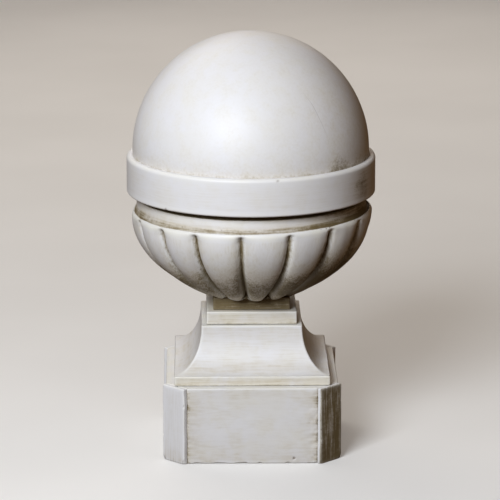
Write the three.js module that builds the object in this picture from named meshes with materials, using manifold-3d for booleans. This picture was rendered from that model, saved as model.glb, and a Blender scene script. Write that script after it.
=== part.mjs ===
// Fence post cap: a painted timber finial for the top of a square post.
//
// A hollow plinth box slips over the post. On it stand a square cap board, a pedestal of four mitred cove
// mouldings round a core, two square steps, a carved bowl of sixteen lobes, a plain collar, and a dome in a
// turned band. A threaded rod through the middle clamps the stack, and two dowels keep it square.
//
// Millimetres, +Z up. The origin is the centre of the plinth's foot, and the front faces -Y.
import * as THREE from "three";
import { mergeVertices } from "three/addons/utils/BufferGeometryUtils.js";
import Module from "manifold-3d";

const wasm = await Module();
wasm.setup();

// Driving dimensions.
const GLUE = 0.3; // glue line between two pieces
const POST = 140; // side of the post that the plinth slips over
const POST_ROOM = 1.7; // clearance on each side of the post

// Plinth box, which hides the post's top.
const PANEL_THICKNESS = 13.5;
const PANEL_INSIDE = POST / 2 + POST_ROOM;
const PANEL_FACE = PANEL_INSIDE + PANEL_THICKNESS;
const PLINTH_HEIGHT = 77.2;
const STRIP_WIDTH = 29.8; // planted corner strips, at 45 degrees
const STRIP_THICKNESS = 5;
const STRIP_FACE = 110.5; // from the axis to a strip's outer face, along the diagonal
const DECK_THICKNESS = 21.9; // inner board that rests on the post
const CAP_BOARD_HALF = 76.8;
const CAP_BOARD_THICKNESS = 9.6;

// Pedestal.
const COVE_HEIGHT = 44;
const COVE_TOP_HALF = 50;
const COVE_LIP = 1.6; // upright edge at the top of the hollow
const CORE_HALF = 37;
const STEP_THICKNESS = 12.8;
const LOWER_STEP_HALF = 44.7;
const UPPER_STEP_HALF = 38.2;

// Bowl.
const BOWL_HEIGHT = 82.1;
const BOWL_RADIUS = 119.3;
const BOWL_WIDEST_DROP = 3.4; // from the rim down to the widest girth
const BOWL_DEPTH_SCALE = 94; // drop at which the profile would reach the axis
const BOWL_ROUNDNESS = 0.7;
const BOWL_RIM_RADIUS = 115.6;
const BOWL_FLOOR = 20;
const BOWL_WALL = 20;
const BOWL_FOOT_RADIUS = 42;
const BOWL_FOOT_EDGE = 1.2; // height of the lobes' rounded lower ends
const LOBES = 16;
const LOBE_STATIONS = [0, 0.16, 0.5, 0.84]; // shares of a lobe's width, from the groove on its left
const LOBE_TURN = THREE.MathUtils.degToRad(-6.2); // a groove stands this far round from the front
const GROOVE_AT_RIM = 6;
const GROOVE_AT_FOOT = 3;

// Collar, band and dome.
const COLLAR_HEIGHT = 13.1;
const COLLAR_FOOT_RADIUS = 115;
const COLLAR_TOP_RADIUS = 113.4;
const SHADOW_GAP = 5.3; // open quirk between the collar and the band
const PAD_RADIUS = 108;
const SPIGOT_DEPTH = 6;
const SPIGOT_ROOM = 1; // the bowl's mouth is this much deeper than the spigot
const MOUTH_RADIUS = 99; // bore of the bowl's rim
const BAND_RADIUS = 123.8;
const BAND_HEIGHT = 37.3;
const BAND_TOP_ROUND = 4;
const BAND_FOOT_ROUND = 2;
const BAND_BORE = 92;
const BULKHEAD_RADIUS = 100;
const BULKHEAD_THICKNESS = 18;
const BULKHEAD_LIFT = 3; // the bulkhead's shoulder stands this far above the collar's spigot
const DOME_RADIUS = 117.4;
const DOME_WALL = 15;
const DOME_SEAT_DEPTH = 6; // rebate in the band
const DOME_STILT = 4.3; // upright skirt above the band, under the half ball

// Hardware.
const ROD_RADIUS = 5; // M10 studding
const ROD_HOLE = 5.6;
const NUT_FLATS = 17;
const NUT_HEIGHT = 8;
const WASHER_RADIUS = 15;
const WASHER_THICKNESS = 2.5;
const COUNTERBORE_RADIUS = 17;
const COUNTERBORE_DEPTH = 13;
const ROD_BELOW_NUT = 1;
const ROD_ABOVE_NUT = 3;
const DOWEL_RADIUS = 4;
const DOWEL_LENGTH = 60;
const DOWEL_OFFSET = 24;
const DOWEL_IN_BOWL = 14;
const SCREW_LENGTH = 50;
const SCREW_RADIUS = 2.1;
const SCREW_HEAD_RADIUS = 4.2;
const SCREW_TIP = 5;
const SCREW_OFFSET = 26;
const OVERRUN = 1; // how far a drill runs past the face that it leaves by

// Facets.
const TURNED_SEGMENTS = 48;
const WASHER_SEGMENTS = 24;
const DRILL_SEGMENTS = 12;
const HEX = 6;
const COVE_STEPS = 10;
const BOWL_ROWS = 9;
const BOWL_INSIDE_ROWS = 4;
const DOME_ROWS = 11;

// Levels up the stack, each from the one below it.
const deckFoot = PLINTH_HEIGHT - GLUE - DECK_THICKNESS;
const capBoardFoot = PLINTH_HEIGHT + GLUE;
const coveFoot = capBoardFoot + CAP_BOARD_THICKNESS + GLUE;
const lowerStepFoot = coveFoot + COVE_HEIGHT + GLUE;
const upperStepFoot = lowerStepFoot + STEP_THICKNESS + GLUE;
const bowlFoot = upperStepFoot + STEP_THICKNESS + GLUE;
const bowlRim = bowlFoot + BOWL_HEIGHT;
const collarFoot = bowlRim + GLUE;
const collarTop = collarFoot + COLLAR_HEIGHT;
const bandFoot = collarTop + SHADOW_GAP;
const bandTop = bandFoot + BAND_HEIGHT;
const domeFoot = bandTop - DOME_SEAT_DEPTH + GLUE;
const domeCentre = bandTop + DOME_STILT;
const shoulder = bandFoot + SPIGOT_DEPTH + BULKHEAD_LIFT;
const bulkheadFoot = shoulder + GLUE;
const bulkheadTop = bulkheadFoot + BULKHEAD_THICKNESS;
const lowerWasherFoot = deckFoot + COUNTERBORE_DEPTH - GLUE - WASHER_THICKNESS;
const lowerNutFoot = lowerWasherFoot - GLUE - NUT_HEIGHT;
const upperWasherFoot = bulkheadTop + GLUE;
const upperNutFoot = upperWasherFoot + WASHER_THICKNESS + GLUE;
const rodFoot = lowerNutFoot - ROD_BELOW_NUT;
const rodTop = upperNutFoot + NUT_HEIGHT + ROD_ABOVE_NUT;
const dowelFoot = bowlFoot + DOWEL_IN_BOWL - DOWEL_LENGTH;

const finish = {
  paint: new THREE.MeshStandardMaterial({ color: 0xdedad0, roughness: 0.5, metalness: 0 }),
  timber: new THREE.MeshStandardMaterial({ color: 0xc9a876, roughness: 0.75, metalness: 0 }),
  beech: new THREE.MeshStandardMaterial({ color: 0xd8b98c, roughness: 0.65, metalness: 0 }),
  zinc: new THREE.MeshStandardMaterial({ color: 0xb6b9bc, roughness: 0.35, metalness: 1 }),
};

const cap = new THREE.Group();

function add(name, geometry, material, turn = 0) {
  const mesh = new THREE.Mesh(geometry, material);
  mesh.name = name;
  mesh.rotation.z = turn;
  cap.add(mesh);
}

// Geometry helpers.

function prism(points, foot, height) {
  const shape = new THREE.Shape(points.map(([x, y]) => new THREE.Vector2(x, y)));
  return new THREE.ExtrudeGeometry(shape, { depth: height, bevelEnabled: false }).translate(0, 0, foot);
}

function board(half, foot, height) {
  return new THREE.BoxGeometry(2 * half, 2 * half, height).translate(0, 0, foot + height / 2);
}

// A closed profile of [radius, height] points, anticlockwise with the axis on its left, turned about Z.
function turned(profile, segments = TURNED_SEGMENTS) {
  const points = [...profile, profile[0]].map(([r, z]) => new THREE.Vector2(r, z));
  return new THREE.LatheGeometry(points, segments).rotateX(Math.PI / 2);
}

// Points on a quarter turn about (r, z), from one angle to another, in degrees from the outward direction.
function quarter(r, z, radius, from, to, steps) {
  return Array.from({ length: steps + 1 }, (_, i) => {
    const a = THREE.MathUtils.degToRad(from + ((to - from) * i) / steps);
    return [r + radius * Math.cos(a), z + radius * Math.sin(a)];
  });
}

function rod(radius, foot, height, x = 0, y = 0, segments = DRILL_SEGMENTS) {
  return new THREE.CylinderGeometry(radius, radius, height, segments)
    .rotateX(Math.PI / 2)
    .translate(x, y, foot + height / 2);
}

function solidOf(geometry) {
  const plain = new THREE.BufferGeometry();
  plain.setAttribute("position", geometry.getAttribute("position").clone());
  plain.setIndex(geometry.index);
  const merged = mergeVertices(plain, 1e-3);
  return new wasm.Manifold(
    new wasm.Mesh({
      numProp: 3,
      vertProperties: new Float32Array(merged.getAttribute("position").array),
      triVerts: new Uint32Array(merged.index.array),
    }),
  );
}

function cut(geometry, ...drills) {
  let solid = solidOf(geometry);
  for (const drill of drills) solid = solid.subtract(solidOf(drill));
  const mesh = solid.getMesh();
  const made = new THREE.BufferGeometry();
  made.setAttribute("position", new THREE.BufferAttribute(new Float32Array(mesh.vertProperties), 3));
  made.setIndex(new THREE.BufferAttribute(new Uint32Array(mesh.triVerts), 1));
  made.computeVertexNormals();
  return made;
}

// Holes that run through several pieces.
const rodHole = rod(ROD_HOLE, 0, domeCentre);
const dowelHoles = [-1, 1].map((side) =>
  rod(DOWEL_RADIUS + GLUE, dowelFoot - GLUE, DOWEL_LENGTH + 2 * GLUE, side * DOWEL_OFFSET),
);
const screwPlaces = [
  ["front_right", 1, -1],
  ["back_right", 1, 1],
  ["back_left", -1, 1],
  ["front_left", -1, -1],
].map(([name, sx, sy]) => [name, sx * SCREW_OFFSET, sy * SCREW_OFFSET]);

// A countersunk screw, driven upwards, or its hole when there is room round it.
function screw(room) {
  const profile = [
    [0, -room],
    [SCREW_HEAD_RADIUS + room, -room],
    [SCREW_RADIUS + room, SCREW_HEAD_RADIUS - SCREW_RADIUS],
    [SCREW_RADIUS + room, SCREW_LENGTH - SCREW_TIP + room],
    [0, SCREW_LENGTH + room],
  ];
  return turned(profile, DRILL_SEGMENTS);
}
const screwHoles = screwPlaces.map(([, x, y]) => screw(GLUE).translate(x, y, deckFoot));

// Plinth box: four panels mitred behind the corner strips.
function panel() {
  const chamfer = Math.SQRT2 * (STRIP_FACE - STRIP_THICKNESS - GLUE);
  const corner = (chamfer + GLUE) / 2;
  const half = [
    [chamfer - PANEL_FACE, -PANEL_FACE],
    [corner - GLUE, -corner],
    [PANEL_INSIDE - GLUE, -PANEL_INSIDE],
  ];
  return prism([...half, ...half.map(([x, y]) => [-x, y]).reverse()], 0, PLINTH_HEIGHT);
}

function cornerStrip() {
  return new THREE.BoxGeometry(STRIP_WIDTH, STRIP_THICKNESS, PLINTH_HEIGHT).translate(
    0,
    -(STRIP_FACE - STRIP_THICKNESS / 2),
    PLINTH_HEIGHT / 2,
  );
}

["front", "right", "back", "left"].forEach((side, i) => {
  add(`panel_${side}`, panel(), finish.paint, (i * Math.PI) / 2);
});
["front_right", "back_right", "back_left", "front_left"].forEach((side, i) => {
  add(`corner_strip_${side}`, cornerStrip(), finish.paint, ((i + 0.5) * Math.PI) / 2);
});

const deck = board(PANEL_INSIDE - GLUE, deckFoot, DECK_THICKNESS);
const counterbore = rod(
  COUNTERBORE_RADIUS,
  deckFoot - OVERRUN,
  COUNTERBORE_DEPTH + OVERRUN,
  0,
  0,
  WASHER_SEGMENTS,
);
add("deck_board", cut(deck, counterbore, rodHole, ...screwHoles), finish.timber);

const capBoard = board(CAP_BOARD_HALF, capBoardFoot, CAP_BOARD_THICKNESS);
add("cap_board", cut(capBoard, rodHole, ...screwHoles), finish.paint);

// Pedestal: a quarter-ellipse hollow on each side, mitred at the hips.
function coveProfile() {
  const hollow = Array.from({ length: COVE_STEPS + 1 }, (_, i) => {
    const a = (i / COVE_STEPS) * (Math.PI / 2);
    const reach = (CAP_BOARD_HALF - COVE_TOP_HALF) * (1 - Math.sin(a));
    const rise = (COVE_HEIGHT - COVE_LIP) * (1 - Math.cos(a));
    return [COVE_TOP_HALF + reach, rise];
  });
  return [[CORE_HALF + GLUE, 0], ...hollow, [COVE_TOP_HALF, COVE_HEIGHT], [CORE_HALF + GLUE, COVE_HEIGHT]];
}

function coveMoulding() {
  const geometry = prism(coveProfile(), 0, 1);
  const at = geometry.getAttribute("position");
  for (let i = 0; i < at.count; i++) {
    const [out, rise, end] = [at.getX(i), at.getY(i), at.getZ(i)];
    at.setXYZ(i, (2 * end - 1) * (out - GLUE), -out, coveFoot + rise);
  }
  return turnedOver(geometry);
}

// Laying a section on its side mirrors it, so the corners of each triangle are taken in the other order.
function turnedOver(geometry) {
  const at = geometry.getAttribute("position");
  const flipped = at.clone();
  for (let i = 0; i < at.count; i++) {
    const from = i % 3 === 0 ? i : i + (i % 3 === 1 ? 1 : -1);
    flipped.setXYZ(i, at.getX(from), at.getY(from), at.getZ(from));
  }
  return new THREE.BufferGeometry().setAttribute("position", flipped);
}

["front", "right", "back", "left"].forEach((side, i) => {
  add(`cove_${side}`, coveMoulding(), finish.paint, (i * Math.PI) / 2);
});
const core = board(CORE_HALF, coveFoot, COVE_HEIGHT);
add("pedestal_core", cut(core, rodHole, ...dowelHoles, ...screwHoles), finish.timber);

const steps = [
  ["lower_step", LOWER_STEP_HALF, lowerStepFoot],
  ["upper_step", UPPER_STEP_HALF, upperStepFoot],
];
for (const [name, half, foot] of steps)
  add(name, cut(board(half, foot, STEP_THICKNESS), rodHole, ...dowelHoles), finish.paint);

// Bowl: a hollowed turning, carved outside into lobes.
function bowlRadius(z) {
  const drop = Math.max(0, bowlRim - BOWL_WIDEST_DROP - z) / BOWL_DEPTH_SCALE;
  return BOWL_RADIUS * (1 - drop ** 2) ** BOWL_ROUNDNESS;
}

function bowlProfile() {
  const low = bowlFoot + BOWL_FOOT_EDGE;
  const widest = bowlRim - BOWL_WIDEST_DROP;
  const flank = Array.from({ length: BOWL_ROWS + 1 }, (_, i) => {
    const z = low + (widest - low) * Math.sin((i / BOWL_ROWS) * (Math.PI / 2));
    return [bowlRadius(z), z];
  });
  const shoulderRound = quarter(BOWL_RIM_RADIUS, widest, BOWL_RADIUS - BOWL_RIM_RADIUS, 30, 90, 2);
  const floor = bowlFoot + BOWL_FLOOR;
  const mouthFoot = bowlRim - SPIGOT_DEPTH - SPIGOT_ROOM;
  const inside = Array.from({ length: BOWL_INSIDE_ROWS + 1 }, (_, i) => {
    const z = mouthFoot - ((mouthFoot - floor) * i) / BOWL_INSIDE_ROWS;
    return [Math.min(MOUTH_RADIUS, bowlRadius(z) - BOWL_WALL), z];
  });
  return {
    carved: [...flank, ...shoulderRound],
    foot: [[ROD_HOLE, bowlFoot], [BOWL_FOOT_RADIUS, bowlFoot]],
    inside: [[MOUTH_RADIUS, bowlRim], ...inside, [ROD_HOLE, floor]],
  };
}

// Each station round the bowl is moved to its share of a lobe, and sunk by the depth of the groove there.
function bowl() {
  const { foot, carved, inside } = bowlProfile();
  const profile = [...foot, ...carved, ...inside];
  const stations = LOBE_STATIONS.length;
  const geometry = turned(profile, LOBES * stations);
  const at = geometry.getAttribute("position");
  for (let i = 0; i < at.count; i++) {
    const station = Math.floor(i / (profile.length + 1));
    const row = i % (profile.length + 1);
    const share = LOBE_STATIONS[station % stations];
    const round = LOBE_TURN + ((Math.floor(station / stations) + share) * 2 * Math.PI) / LOBES;
    const isCarved = row >= foot.length && row < foot.length + carved.length;
    const climb = Math.min(1, (at.getZ(i) - bowlFoot) / (BOWL_HEIGHT - BOWL_WIDEST_DROP));
    const groove = GROOVE_AT_FOOT + (GROOVE_AT_RIM - GROOVE_AT_FOOT) * climb;
    const sunk = isCarved ? groove * Math.abs(2 * share - 1) ** 4 : 0;
    const radius = Math.hypot(at.getX(i), at.getY(i)) - sunk;
    at.setXY(i, radius * Math.sin(round), -radius * Math.cos(round));
  }
  return geometry;
}
add("carved_bowl", cut(bowl(), ...dowelHoles), finish.paint);

// Collar: a turned disc that closes the bowl, with a spigot down into it and one up into the band.
const collar = turned([
  [ROD_HOLE, collarFoot - SPIGOT_DEPTH],
  [MOUTH_RADIUS - GLUE, collarFoot - SPIGOT_DEPTH],
  [MOUTH_RADIUS - GLUE, collarFoot],
  [COLLAR_FOOT_RADIUS, collarFoot],
  [COLLAR_TOP_RADIUS, collarTop],
  [PAD_RADIUS, collarTop],
  [PAD_RADIUS, bandFoot - GLUE],
  [BAND_BORE - GLUE, bandFoot - GLUE],
  [BAND_BORE - GLUE, bandFoot + SPIGOT_DEPTH],
  [ROD_HOLE, bandFoot + SPIGOT_DEPTH],
]);
add("collar_disc", collar, finish.paint);

const seatRadius = DOME_RADIUS + GLUE;
const band = turned([
  [BAND_BORE, bandFoot],
  ...quarter(BAND_RADIUS - BAND_FOOT_ROUND, bandFoot + BAND_FOOT_ROUND, BAND_FOOT_ROUND, -90, 0, 2),
  ...quarter(BAND_RADIUS - BAND_TOP_ROUND, bandTop - BAND_TOP_ROUND, BAND_TOP_ROUND, 0, 90, 4),
  [seatRadius, bandTop],
  [seatRadius, bandTop - DOME_SEAT_DEPTH],
  [BULKHEAD_RADIUS + GLUE, bandTop - DOME_SEAT_DEPTH],
  [BULKHEAD_RADIUS + GLUE, shoulder],
  [BAND_BORE, shoulder],
]);
add("band_ring", band, finish.paint);

const bulkhead = turned([
  [ROD_HOLE, bulkheadFoot],
  [BULKHEAD_RADIUS, bulkheadFoot],
  [BULKHEAD_RADIUS, bulkheadTop],
  [ROD_HOLE, bulkheadTop],
]);
add("bulkhead_disc", bulkhead, finish.timber);

// Dome: a hollow half ball on a short upright skirt.
const dome = turned([
  [DOME_RADIUS - DOME_WALL, domeFoot],
  [DOME_RADIUS, domeFoot],
  ...quarter(0, domeCentre, DOME_RADIUS, 0, 90, DOME_ROWS),
  ...quarter(0, domeCentre, DOME_RADIUS - DOME_WALL, 90, 0, DOME_ROWS),
]);
add("dome", cut(dome), finish.paint);

// Hardware.
function hexNut(foot) {
  const nut = rod(NUT_FLATS / Math.sqrt(3), foot, NUT_HEIGHT, 0, 0, HEX);
  return cut(nut, rod(ROD_RADIUS + GLUE, foot - OVERRUN, NUT_HEIGHT + 2 * OVERRUN));
}

function washer(foot) {
  const disc = rod(WASHER_RADIUS, foot, WASHER_THICKNESS, 0, 0, WASHER_SEGMENTS);
  return cut(disc, rod(ROD_RADIUS + GLUE, foot - OVERRUN, WASHER_THICKNESS + 2 * OVERRUN));
}

add("tie_rod", rod(ROD_RADIUS, rodFoot, rodTop - rodFoot), finish.zinc);
add("lower_nut", hexNut(lowerNutFoot), finish.zinc);
add("lower_washer", washer(lowerWasherFoot), finish.zinc);
add("upper_nut", hexNut(upperNutFoot), finish.zinc);
add("upper_washer", washer(upperWasherFoot), finish.zinc);
add("dowel_left", rod(DOWEL_RADIUS, dowelFoot, DOWEL_LENGTH, -DOWEL_OFFSET), finish.beech);
add("dowel_right", rod(DOWEL_RADIUS, dowelFoot, DOWEL_LENGTH, DOWEL_OFFSET), finish.beech);
for (const [name, x, y] of screwPlaces)
  add(`deck_screw_${name}`, screw(0).translate(x, y, deckFoot), finish.zinc);

export default cap;
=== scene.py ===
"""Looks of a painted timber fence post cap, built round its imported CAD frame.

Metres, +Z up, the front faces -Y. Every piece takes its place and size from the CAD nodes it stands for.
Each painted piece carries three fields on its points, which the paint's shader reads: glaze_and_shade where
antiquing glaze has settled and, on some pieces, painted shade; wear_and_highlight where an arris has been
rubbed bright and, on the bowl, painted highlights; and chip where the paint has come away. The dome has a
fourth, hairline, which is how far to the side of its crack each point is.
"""

import math

import bmesh
import bpy
import numpy as np
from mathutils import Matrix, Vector


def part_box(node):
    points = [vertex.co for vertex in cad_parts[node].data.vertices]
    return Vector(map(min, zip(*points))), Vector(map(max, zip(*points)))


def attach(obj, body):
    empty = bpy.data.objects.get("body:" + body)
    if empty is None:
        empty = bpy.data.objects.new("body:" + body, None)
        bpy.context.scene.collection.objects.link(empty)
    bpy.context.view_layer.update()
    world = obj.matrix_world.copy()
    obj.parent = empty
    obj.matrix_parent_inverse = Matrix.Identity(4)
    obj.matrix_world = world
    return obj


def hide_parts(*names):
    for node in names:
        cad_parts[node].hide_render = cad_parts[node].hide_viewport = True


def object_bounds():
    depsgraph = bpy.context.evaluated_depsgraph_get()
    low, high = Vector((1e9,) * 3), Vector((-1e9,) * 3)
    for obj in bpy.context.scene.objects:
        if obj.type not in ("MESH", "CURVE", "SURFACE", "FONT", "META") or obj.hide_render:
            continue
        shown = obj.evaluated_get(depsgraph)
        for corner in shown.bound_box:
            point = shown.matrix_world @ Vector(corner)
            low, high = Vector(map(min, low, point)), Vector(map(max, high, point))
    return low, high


MM = 0.001
SIDES = ("front", "right", "back", "left")
CORNERS = ("front_right", "back_right", "back_left", "front_left")

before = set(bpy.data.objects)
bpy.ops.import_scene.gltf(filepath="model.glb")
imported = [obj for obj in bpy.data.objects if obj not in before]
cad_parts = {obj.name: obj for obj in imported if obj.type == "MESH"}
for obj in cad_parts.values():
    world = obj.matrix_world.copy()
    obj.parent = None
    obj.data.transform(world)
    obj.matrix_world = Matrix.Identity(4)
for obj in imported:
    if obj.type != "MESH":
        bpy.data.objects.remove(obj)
cad_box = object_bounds()
cap_height = cad_box[1].z - cad_box[0].z

# ------------------------------ sizes

ARRIS = 1.1 * MM  # rounding of a planed edge under its paint
HIP_ARRIS = 1.5 * MM  # rounding of the coves' mitred corners
TOE_ROUNDING = 1.8 * MM  # how much rounder those corners are at the toe
FINE = 1.3 * MM  # spacing of points on the mouldings and boards
TURNED_COLUMNS = 360  # columns of points round a turned piece
COLUMNS_PER_LOBE = 36
REST_GAP = 0.3 * MM  # between pieces that rest on each other
ROD_HOLE_RADIUS = 12 * MM  # the hole that the turned pieces have for the tie rod
STRIP_THICKNESS = 5 * MM
NAIL_HOLE = (41 * MM, 5.2 * MM)  # across and up the front panel
DOME_WALL = 15 * MM
DOME_DRIFT = -0.15 * MM  # towards the right
SHADOW_GAP = 5.3 * MM  # height of the dark gap between the collar's wall and the band

# The carved bowl.
LOBES = 16
LOBE_TURN = math.radians(-6.2)
# How far each groove was cut from its even place, in degrees, going round from the one nearest the front.
GROOVE_DRIFTS = (0.0, 1.0, 0.9, 0.4, -0.6, 0.3, 0.8, -0.5, 0.2, 0.9, -0.4, 0.6, 2.2, 3.6, 1.9, -0.5)
GIRTH_RADIUS = 119.8 * MM
PROFILE_REACH = 94.1 * MM  # fall from the girth to where the profile would meet the axis
PROFILE_POWER = 1.977  # the two powers of the bowl's curve, which is nearly an ellipse
PROFILE_ROUND = 0.706
TIP_RADIUS = 50.5 * MM  # where the lobes turn under
FOOT_RADIUS = 43 * MM
RIM_RISE = 0.6 * MM  # the lobes' tops above the bowl's rim in the frame
SHOULDER_DROP = 5.0 * MM
SHOULDER_DEPTH = 2.8 * MM
BOWL_LEAN = 0.016  # the carved rim climbs towards the right
BOWL_DRIFT = 0.9 * MM  # how far its rim is off to the right
GROOVE_DEPTH = 6.0 * MM
GROOVE_TIP_DEPTH = 3.4 * MM
GROOVE_FLANK = 2.5  # higher is a flatter lobe with a tighter groove
V_DEPTH = 3.6 * MM
V_REACH = 6.5 * MM
V_POWER = 1.6
GROOVE_CROWDING = 0.11  # how far columns of points shift towards the grooves
REBATE_DEPTH = 3.2 * MM  # where the collar sits inside the lobes' tops
FILLET_RISE = 4.6 * MM  # caked dirt between the lobes' tops and the collar's wall

# How dark each corner strip is made, in the order of the corners: glaze on all of them, and painted shade
# on the two right-hand strips, which face away from the key light.
STRIP_GLAZE_AND_SHADE = (0.82, 0.58, 0.12, 0.06)

# Colours, as linear red, green and blue.
COOL_WHITE = (0.79, 0.785, 0.80)
WARM_WHITE = (0.765, 0.735, 0.65)
CREAM = (0.86, 0.84, 0.74)
BEIGE_GLAZE = (0.466, 0.378, 0.225)
OLIVE_GLAZE = (0.135, 0.097, 0.038)
CHIP_BROWN = (0.115, 0.07, 0.035)
SOFTWOOD = (0.56, 0.36, 0.19)
SOFTWOOD_LATE = (0.36, 0.19, 0.085)
BEECH = (0.62, 0.42, 0.25)
BEECH_FLECK = (0.48, 0.29, 0.155)
TIMBER_SOIL = (0.20, 0.15, 0.10)
ZINC = (0.60, 0.61, 0.62)
ZINC_SPANGLE = (0.45, 0.46, 0.48)
ZINC_BLOOM = (0.72, 0.71, 0.67)
FLOOR_GREYS = ((0.72, 0.71, 0.69), (0.75, 0.74, 0.72))
ROOM_GLOW = (1.0, 0.61, 0.33)


# ------------------------------ noise


def lattice(cells, seed):
    """A fixed number from -1 to 1 for each whole-numbered cell."""
    wave = np.sin(cells @ np.array([127.1, 311.7, 74.7]) + 17.0 * seed) * 43758.5453
    return 2 * (wave - np.floor(wave)) - 1


def noise(points, size, seed=0):
    """Smooth noise from -1 to 1 at each point, in lumps of about the given size."""
    scaled = points / np.asarray(size)
    cell = np.floor(scaled)
    part = scaled - cell
    part = part * part * (3 - 2 * part)
    total = 0.0
    for corner in np.ndindex(2, 2, 2):
        weight = np.where(corner, part, 1 - part).prod(axis=-1)
        total = total + weight * lattice(cell + np.array(corner), seed)
    return total


def rise(value, low, high):
    """0 below low and 1 above high, with a smooth climb between them."""
    share = np.clip((value - low) / (high - low), 0, 1)
    return share * share * (3 - 2 * share)


def fading(gap, width):
    """1 where the gap is 0, falling off fast at first over the given width."""
    return np.exp(-gap / width)


def bell(gap, width):
    """1 where the gap is 0, falling off as a bell does on both sides, over the given width."""
    return np.exp(-((gap / width) ** 2))


def nearest(points, places):
    """How far each point is from the nearest of the places."""
    return np.min([np.linalg.norm(points - np.asarray(place), axis=-1) for place in places], axis=0)


def near(points, places, width):
    """1 at any of the places, falling off over the given width."""
    return fading(nearest(points, places), width)


def near_place(direction, height, radius):
    """The point at a height on a turned surface, in a level direction from the axis."""
    return np.array([direction[0] * radius, direction[1] * radius, height])


# ------------------------------ outlines


def arc(centre, radii, start, end, steps):
    """Points on a quarter of an ellipse, or any part of it, between two angles in degrees."""
    angles = np.radians(np.linspace(start, end, steps + 1))
    across, up = radii
    return np.column_stack((centre[0] + across * np.cos(angles), centre[1] + up * np.sin(angles)))


def run(start, end, step):
    """Points on a straight stretch, without its last one."""
    start, end = np.array(start, float), np.array(end, float)
    count = max(1, math.ceil(np.linalg.norm(end - start) / step))
    return start + (end - start) * (np.arange(count) / count)[:, None]


def rounded(corners, step, arc_steps=5):
    """A closed outline through corners of (x, y, rounding), with points at most step apart."""
    flat = np.array([corner[:2] for corner in corners], float)
    entries, exits = [], []
    for i, (*_, rounding) in enumerate(corners):
        here = flat[i]
        back = (flat[i - 1] - here) / np.linalg.norm(flat[i - 1] - here)
        ahead = flat[(i + 1) % len(flat)] - here
        ahead = ahead / np.linalg.norm(ahead)
        half = math.acos(np.clip(back @ ahead, -1, 1)) / 2
        reach = rounding / math.tan(half)
        middle = (back + ahead) / np.linalg.norm(back + ahead) * rounding / math.sin(half)
        centre = here + middle
        blend = np.linspace(0, 1, arc_steps + 1)[:, None]
        spokes = (here + back * reach - centre) * (1 - blend) + (here + ahead * reach - centre) * blend
        lengths = np.linalg.norm(spokes, axis=1)[:, None]
        entries.append(centre + spokes / lengths * rounding)
        exits.append(here + ahead * reach)
    outline = []
    for i, bend in enumerate(entries):
        outline.append(bend[:-1])
        outline.append(run(exits[i], entries[(i + 1) % len(entries)][0], step))
    return np.vstack(outline)


# ------------------------------ meshes


def grid_faces(rows, columns):
    """Faces of a grid that closes on itself from its last column to its first, and likewise its rows."""
    row, column = np.meshgrid(np.arange(rows), np.arange(columns), indexing="ij")
    row, column = row.ravel(), column.ravel()
    below, beside = (row + 1) % rows, (column + 1) % columns
    rows_and_columns = ((row, column), (below, column), (below, beside), (row, beside))
    corners = [down * columns + along for down, along in rows_and_columns]
    return np.column_stack(corners).tolist()


def make_piece(name, points, faces, fields, materials, nodes, inner=None):
    """A smooth mesh that stands for the CAD nodes. inner picks the faces that show the second material, from
    their centres."""
    mesh = bpy.data.meshes.new(name)
    mesh.from_pydata(points.tolist(), [], faces)
    for field, values in fields.items():
        layer = mesh.attributes.new(field, "FLOAT", "POINT")
        layer.data.foreach_set("value", np.asarray(values, np.float32))
    shape = bmesh.new()
    shape.from_mesh(mesh)
    bmesh.ops.remove_doubles(shape, verts=shape.verts, dist=0.001 * MM)
    bmesh.ops.recalc_face_normals(shape, faces=shape.faces)
    shape.to_mesh(mesh)
    shape.free()
    mesh.shade_smooth()
    for material in materials:
        mesh.materials.append(material)
    if inner is not None:
        centres = np.empty(len(mesh.polygons) * 3)
        mesh.polygons.foreach_get("center", centres)
        picked = inner(centres.reshape(-1, 3))
        mesh.polygons.foreach_set("material_index", picked.astype(np.int32))
    piece = bpy.data.objects.new(name, mesh)
    bpy.context.scene.collection.objects.link(piece)
    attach(piece, "root")
    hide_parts(*nodes)
    return piece


def turn_points(points, quarter_turns):
    """Points turned about Z by a number of quarter turns."""
    angle = quarter_turns * math.pi / 2
    cosine, sine = math.cos(angle), math.sin(angle)
    return points @ np.array([[cosine, sine, 0], [-sine, cosine, 0], [0, 0, 1]])


def swept(radius, angles, height):
    """Points, as rows by columns by xyz, at radii, angles from the front, and heights."""
    return np.stack((radius * np.sin(angles), -radius * np.cos(angles), height + 0 * angles), axis=-1)


def turned_piece(name, profile, fields, materials, nodes, wobble=0.0, drift=0.0, lean=0.0,
                 columns=TURNED_COLUMNS, patches=()):
    """A turned piece, out of true by wobble, whose fields are given for each point of its (radius, height)
    profile. lean is how fast each point of the profile climbs towards the right. Each patch adds an amount
    to a field round a place, out to a width."""
    angles = np.arange(columns) * 2 * math.pi / columns
    points = swept(profile[:, :1], angles, profile[:, 1:])
    points[..., 2] += np.reshape(lean, (-1, 1)) * points[..., 0]
    points = points.reshape(-1, 3)
    spread = {key: np.repeat(values, columns) for key, values in fields.items()}
    for key, place, width, amount in patches:
        spread[key] = spread[key] + amount * bell(nearest(points, [place]), width)
    lump = noise(points, 55 * MM, 3) + 0.4 * noise(points, 17 * MM, 4)
    outward = points * (1, 1, 0)
    outward = outward / np.maximum(np.linalg.norm(outward, axis=1), MM)[:, None]
    points = points + outward * (wobble * lump)[:, None] + (drift, 0, 0)
    faces = grid_faces(len(profile), columns)
    return make_piece(name, points, faces, spread, materials, nodes)


def ticks(half, rounding, step):
    """Places along one side of a rounded board, close together round its two arrises."""
    flat = half - rounding
    bend = rounding * np.tan(np.radians([15, 30, 45]))
    middle = np.linspace(-flat, flat, max(2, math.ceil(2 * flat / step) + 1))
    return np.concatenate((-flat - bend[::-1], middle, flat + bend))


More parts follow.
